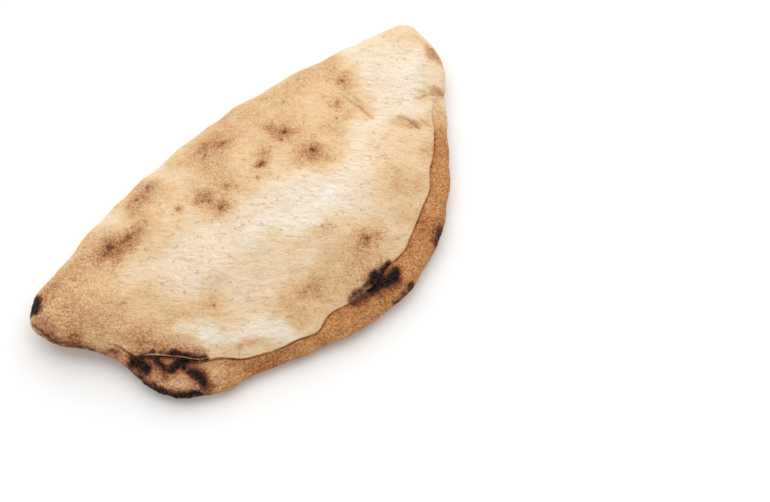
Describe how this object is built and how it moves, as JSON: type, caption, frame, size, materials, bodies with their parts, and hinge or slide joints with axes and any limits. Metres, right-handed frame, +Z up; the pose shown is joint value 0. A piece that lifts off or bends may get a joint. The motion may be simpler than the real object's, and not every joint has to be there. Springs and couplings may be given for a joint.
{
  "type": "calzone",
  "caption": "Whole baked calzone: pizza dough folded over its filling into a half moon, with a rounded lip along the seam, charred spots and a flat base.",
  "frame": {"origin": "on the surface it rests on, under the middle of its outline", "axes": "+X along the fold from the charred tip to the blunt end, +Y from the open seam to the fold, +Z up"},
  "size_m": [0.2756, 0.1489, 0.0403],
  "materials": {
    "baked_dough": "Stone-baked wheat dough: matt, cream where flour covers it, tan to brown in speckled patches, black where the tip and the seam's edges are charred."
  },
  "bodies": {
    "root": {"calzone": "baked_dough"}
  },
  "joints": []
}
